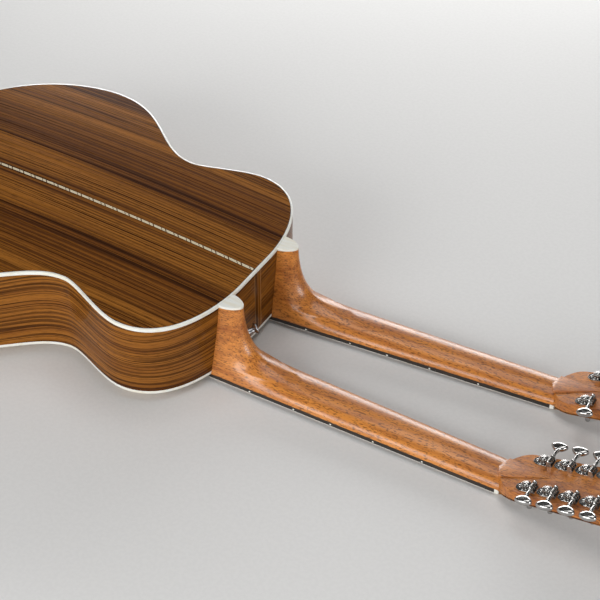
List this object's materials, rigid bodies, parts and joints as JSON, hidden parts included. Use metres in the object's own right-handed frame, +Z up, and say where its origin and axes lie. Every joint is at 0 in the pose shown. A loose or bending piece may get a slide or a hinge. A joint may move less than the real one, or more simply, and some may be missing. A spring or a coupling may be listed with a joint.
{
  "type": "double-neck acoustic guitar",
  "caption": "Double-neck acoustic guitar: paired necks with open-geared tuners on a hollow jumbo body, lying face down on its strings.",
  "frame": {"origin": "on the surface that the guitar lies on, under the middle of its length and width", "axes": "+X from the tail towards the heads, +Z up and out of the guitar's back, -Y the bass side with the twelve-string neck"},
  "size_m": [1.0634, 0.436, 0.1392],
  "materials": {
    "ebony": "oiled, satin",
    "ivory": "polished",
    "mahogany": "lacquered, satin",
    "nickel": "polished nickel plate",
    "rosewood": "oiled and lacquered, gloss",
    "spruce": "lacquered, satin gloss",
    "steel": "polished",
    "string_metal": "drawn and wound wire"
  },
  "bodies": {
    "guitar": {"back_binding": "ivory", "back_plate": "rosewood", "bridge": "ebony", "end_pin": "ebony", "neck_block": "mahogany", "sides": "rosewood", "six_fingerboard": "ebony", "six_headplate": "rosewood", "six_heel_cap": "ivory", "six_neck": "mahogany", "six_nut": "ivory", "six_strings": "string_metal", "six_truss_rod": "steel", "soundboard": "spruce", "strap_button": "steel", "tail_block": "mahogany", "top_binding": "ivory", "twelve_fingerboard": "ebony", "twelve_headplate": "rosewood", "twelve_heel_cap": "ivory", "twelve_neck": "mahogany", "twelve_nut": "ivory", "twelve_strings": "string_metal", "twelve_truss_rod": "steel"},
    "six_key_bass_1": {"six_key_bass_1": "nickel"},
    "six_post_bass_1": {"six_post_bass_1": "nickel"},
    "six_key_bass_2": {"six_key_bass_2": "nickel"},
    "six_post_bass_2": {"six_post_bass_2": "nickel"},
    "six_key_bass_3": {"six_key_bass_3": "nickel"},
    "six_post_bass_3": {"six_post_bass_3": "nickel"},
    "six_key_treble_1": {"six_key_treble_1": "nickel"},
    "six_post_treble_1": {"six_post_treble_1": "nickel"},
    "six_key_treble_2": {"six_key_treble_2": "nickel"},
    "six_post_treble_2": {"six_post_treble_2": "nickel"},
    "six_key_treble_3": {"six_key_treble_3": "nickel"},
    "six_post_treble_3": {"six_post_treble_3": "nickel"},
    "twelve_key_bass_1": {"twelve_key_bass_1": "nickel"},
    "twelve_post_bass_1": {"twelve_post_bass_1": "nickel"},
    "twelve_key_bass_2": {"twelve_key_bass_2": "nickel"},
    "twelve_post_bass_2": {"twelve_post_bass_2": "nickel"},
    "twelve_key_bass_3": {"twelve_key_bass_3": "nickel"},
    "twelve_post_bass_3": {"twelve_post_bass_3": "nickel"},
    "twelve_key_bass_4": {"twelve_key_bass_4": "nickel"},
    "twelve_post_bass_4": {"twelve_post_bass_4": "nickel"},
    "twelve_key_bass_5": {"twelve_key_bass_5": "nickel"},
    "twelve_post_bass_5": {"twelve_post_bass_5": "nickel"},
    "twelve_key_bass_6": {"twelve_key_bass_6": "nickel"},
    "twelve_post_bass_6": {"twelve_post_bass_6": "nickel"},
    "twelve_key_treble_1": {"twelve_key_treble_1": "nickel"},
    "twelve_post_treble_1": {"twelve_post_treble_1": "nickel"},
    "twelve_key_treble_2": {"twelve_key_treble_2": "nickel"},
    "twelve_post_treble_2": {"twelve_post_treble_2": "nickel"},
    "twelve_key_treble_3": {"twelve_key_treble_3": "nickel"},
    "twelve_post_treble_3": {"twelve_post_treble_3": "nickel"},
    "twelve_key_treble_4": {"twelve_key_treble_4": "nickel"},
    "twelve_post_treble_4": {"twelve_post_treble_4": "nickel"},
    "twelve_key_treble_5": {"twelve_key_treble_5": "nickel"},
    "twelve_post_treble_5": {"twelve_post_treble_5": "nickel"},
    "twelve_key_treble_6": {"twelve_key_treble_6": "nickel"},
    "twelve_post_treble_6": {"twelve_post_treble_6": "nickel"}
  },
  "joints": [
    {"name": "six_key_bass_1_turn", "type": "hinge", "parent": "guitar", "child": "six_key_bass_1", "pos_m": [0.40259, 0.05505, 0.03694], "axis": [0.0373, -0.9993, -0.0007], "continuous": true},
    {"name": "six_post_bass_1_turn", "type": "hinge", "parent": "guitar", "child": "six_post_bass_1", "pos_m": [0.39619, 0.05482, 0.03093], "axis": [-0.2147, -0.0087, 0.9766], "continuous": true},
    {"name": "six_key_bass_2_turn", "type": "hinge", "parent": "guitar", "child": "six_key_bass_2", "pos_m": [0.44163, 0.0565, 0.04554], "axis": [0.0373, -0.9993, -0.0007], "continuous": true},
    {"name": "six_post_bass_2_turn", "type": "hinge", "parent": "guitar", "child": "six_post_bass_2", "pos_m": [0.43522, 0.05627, 0.03952], "axis": [-0.2147, -0.0087, 0.9766], "continuous": true},
    {"name": "six_key_bass_3_turn", "type": "hinge", "parent": "guitar", "child": "six_key_bass_3", "pos_m": [0.48067, 0.05796, 0.05413], "axis": [0.0373, -0.9993, -0.0007], "continuous": true},
    {"name": "six_post_bass_3_turn", "type": "hinge", "parent": "guitar", "child": "six_post_bass_3", "pos_m": [0.47426, 0.05772, 0.04812], "axis": [-0.2147, -0.0087, 0.9766], "continuous": true},
    {"name": "six_key_treble_1_turn", "type": "hinge", "parent": "guitar", "child": "six_key_treble_1", "pos_m": [0.40092, 0.09982, 0.03697], "axis": [-0.0373, 0.9993, 0.0007], "continuous": true},
    {"name": "six_post_treble_1_turn", "type": "hinge", "parent": "guitar", "child": "six_post_treble_1", "pos_m": [0.39451, 0.09958, 0.03096], "axis": [-0.2147, -0.0087, 0.9766], "continuous": true},
    {"name": "six_key_treble_2_turn", "type": "hinge", "parent": "guitar", "child": "six_key_treble_2", "pos_m": [0.43995, 0.10127, 0.04557], "axis": [-0.0373, 0.9993, 0.0007], "continuous": true},
    {"name": "six_post_treble_2_turn", "type": "hinge", "parent": "guitar", "child": "six_post_treble_2", "pos_m": [0.43355, 0.10104, 0.03955], "axis": [-0.2147, -0.0087, 0.9766], "continuous": true},
    {"name": "six_key_treble_3_turn", "type": "hinge", "parent": "guitar", "child": "six_key_treble_3", "pos_m": [0.47899, 0.10272, 0.05416], "axis": [-0.0373, 0.9993, 0.0007], "continuous": true},
    {"name": "six_post_treble_3_turn", "type": "hinge", "parent": "guitar", "child": "six_post_treble_3", "pos_m": [0.47259, 0.10249, 0.04815], "axis": [-0.2147, -0.0087, 0.9766], "continuous": true},
    {"name": "twelve_key_bass_1_turn", "type": "hinge", "parent": "guitar", "child": "twelve_key_bass_1", "pos_m": [0.39672, -0.09966, 0.03605], "axis": [-0.0373, -0.9993, 0.0007], "continuous": true},
    {"name": "twelve_post_bass_1_turn", "type": "hinge", "parent": "guitar", "child": "twelve_post_bass_1", "pos_m": [0.39032, -0.09943, 0.03003], "axis": [-0.2147, 0.0087, 0.9766], "continuous": true},
    {"name": "twelve_key_bass_2_turn", "type": "hinge", "parent": "guitar", "child": "twelve_key_bass_2", "pos_m": [0.42002, -0.10053, 0.04118], "axis": [-0.0373, -0.9993, 0.0007], "continuous": true},
    {"name": "twelve_post_bass_2_turn", "type": "hinge", "parent": "guitar", "child": "twelve_post_bass_2", "pos_m": [0.41361, -0.10029, 0.03516], "axis": [-0.2147, 0.0087, 0.9766], "continuous": true},
    {"name": "twelve_key_bass_3_turn", "type": "hinge", "parent": "guitar", "child": "twelve_key_bass_3", "pos_m": [0.44331, -0.1014, 0.04631], "axis": [-0.0373, -0.9993, 0.0007], "continuous": true},
    {"name": "twelve_post_bass_3_turn", "type": "hinge", "parent": "guitar", "child": "twelve_post_bass_3", "pos_m": [0.43691, -0.10116, 0.04029], "axis": [-0.2147, 0.0087, 0.9766], "continuous": true},
    {"name": "twelve_key_bass_4_turn", "type": "hinge", "parent": "guitar", "child": "twelve_key_bass_4", "pos_m": [0.46661, -0.10226, 0.05144], "axis": [-0.0373, -0.9993, 0.0007], "continuous": true},
    {"name": "twelve_post_bass_4_turn", "type": "hinge", "parent": "guitar", "child": "twelve_post_bass_4", "pos_m": [0.4602, -0.10203, 0.04542], "axis": [-0.2147, 0.0087, 0.9766], "continuous": true},
    {"name": "twelve_key_bass_5_turn", "type": "hinge", "parent": "guitar", "child": "twelve_key_bass_5", "pos_m": [0.4899, -0.10313, 0.05657], "axis": [-0.0373, -0.9993, 0.0007], "continuous": true},
    {"name": "twelve_post_bass_5_turn", "type": "hinge", "parent": "guitar", "child": "twelve_post_bass_5", "pos_m": [0.4835, -0.1029, 0.05055], "axis": [-0.2147, 0.0087, 0.9766], "continuous": true},
    {"name": "twelve_key_bass_6_turn", "type": "hinge", "parent": "guitar", "child": "twelve_key_bass_6", "pos_m": [0.5132, -0.104, 0.0617], "axis": [-0.0373, -0.9993, 0.0007], "continuous": true},
    {"name": "twelve_post_bass_6_turn", "type": "hinge", "parent": "guitar", "child": "twelve_post_bass_6", "pos_m": [0.5068, -0.10376, 0.05568], "axis": [-0.2147, 0.0087, 0.9766], "continuous": true},
    {"name": "twelve_key_treble_1_turn", "type": "hinge", "parent": "guitar", "child": "twelve_key_treble_1", "pos_m": [0.39839, -0.05489, 0.03602], "axis": [0.0373, 0.9993, -0.0007], "continuous": true},
    {"name": "twelve_post_treble_1_turn", "type": "hinge", "parent": "guitar", "child": "twelve_post_treble_1", "pos_m": [0.39199, -0.05466, 0.03], "axis": [-0.2147, 0.0087, 0.9766], "continuous": true},
    {"name": "twelve_key_treble_2_turn", "type": "hinge", "parent": "guitar", "child": "twelve_key_treble_2", "pos_m": [0.42169, -0.05576, 0.04115], "axis": [0.0373, 0.9993, -0.0007], "continuous": true},
    {"name": "twelve_post_treble_2_turn", "type": "hinge", "parent": "guitar", "child": "twelve_post_treble_2", "pos_m": [0.41529, -0.05553, 0.03513], "axis": [-0.2147, 0.0087, 0.9766], "continuous": true},
    {"name": "twelve_key_treble_3_turn", "type": "hinge", "parent": "guitar", "child": "twelve_key_treble_3", "pos_m": [0.44498, -0.05663, 0.04628], "axis": [0.0373, 0.9993, -0.0007], "continuous": true},
    {"name": "twelve_post_treble_3_turn", "type": "hinge", "parent": "guitar", "child": "twelve_post_treble_3", "pos_m": [0.43858, -0.05639, 0.04026], "axis": [-0.2147, 0.0087, 0.9766], "continuous": true},
    {"name": "twelve_key_treble_4_turn", "type": "hinge", "parent": "guitar", "child": "twelve_key_treble_4", "pos_m": [0.46828, -0.0575, 0.05141], "axis": [0.0373, 0.9993, -0.0007], "continuous": true},
    {"name": "twelve_post_treble_4_turn", "type": "hinge", "parent": "guitar", "child": "twelve_post_treble_4", "pos_m": [0.46188, -0.05726, 0.04539], "axis": [-0.2147, 0.0087, 0.9766], "continuous": true},
    {"name": "twelve_key_treble_5_turn", "type": "hinge", "parent": "guitar", "child": "twelve_key_treble_5", "pos_m": [0.49158, -0.05836, 0.05654], "axis": [0.0373, 0.9993, -0.0007], "continuous": true},
    {"name": "twelve_post_treble_5_turn", "type": "hinge", "parent": "guitar", "child": "twelve_post_treble_5", "pos_m": [0.48517, -0.05813, 0.05052], "axis": [-0.2147, 0.0087, 0.9766], "continuous": true},
    {"name": "twelve_key_treble_6_turn", "type": "hinge", "parent": "guitar", "child": "twelve_key_treble_6", "pos_m": [0.51487, -0.05923, 0.06167], "axis": [0.0373, 0.9993, -0.0007], "continuous": true},
    {"name": "twelve_post_treble_6_turn", "type": "hinge", "parent": "guitar", "child": "twelve_post_treble_6", "pos_m": [0.50847, -0.05899, 0.05565], "axis": [-0.2147, 0.0087, 0.9766], "continuous": true}
  ],
  "couplings": [
    {"joint": "six_post_bass_1_turn", "follows": "six_key_bass_1_turn", "ratio": 0.071429},
    {"joint": "six_post_bass_2_turn", "follows": "six_key_bass_2_turn", "ratio": 0.071429},
    {"joint": "six_post_bass_3_turn", "follows": "six_key_bass_3_turn", "ratio": 0.071429},
    {"joint": "six_post_treble_1_turn", "follows": "six_key_treble_1_turn", "ratio": -0.071429},
    {"joint": "six_post_treble_2_turn", "follows": "six_key_treble_2_turn", "ratio": -0.071429},
    {"joint": "six_post_treble_3_turn", "follows": "six_key_treble_3_turn", "ratio": -0.071429},
    {"joint": "twelve_post_bass_1_turn", "follows": "twelve_key_bass_1_turn", "ratio": 0.071429},
    {"joint": "twelve_post_bass_2_turn", "follows": "twelve_key_bass_2_turn", "ratio": 0.071429},
    {"joint": "twelve_post_bass_3_turn", "follows": "twelve_key_bass_3_turn", "ratio": 0.071429},
    {"joint": "twelve_post_bass_4_turn", "follows": "twelve_key_bass_4_turn", "ratio": 0.071429},
    {"joint": "twelve_post_bass_5_turn", "follows": "twelve_key_bass_5_turn", "ratio": 0.071429},
    {"joint": "twelve_post_bass_6_turn", "follows": "twelve_key_bass_6_turn", "ratio": 0.071429},
    {"joint": "twelve_post_treble_1_turn", "follows": "twelve_key_treble_1_turn", "ratio": -0.071429},
    {"joint": "twelve_post_treble_2_turn", "follows": "twelve_key_treble_2_turn", "ratio": -0.071429},
    {"joint": "twelve_post_treble_3_turn", "follows": "twelve_key_treble_3_turn", "ratio": -0.071429},
    {"joint": "twelve_post_treble_4_turn", "follows": "twelve_key_treble_4_turn", "ratio": -0.071429},
    {"joint": "twelve_post_treble_5_turn", "follows": "twelve_key_treble_5_turn", "ratio": -0.071429},
    {"joint": "twelve_post_treble_6_turn", "follows": "twelve_key_treble_6_turn", "ratio": -0.071429}
  ]
}
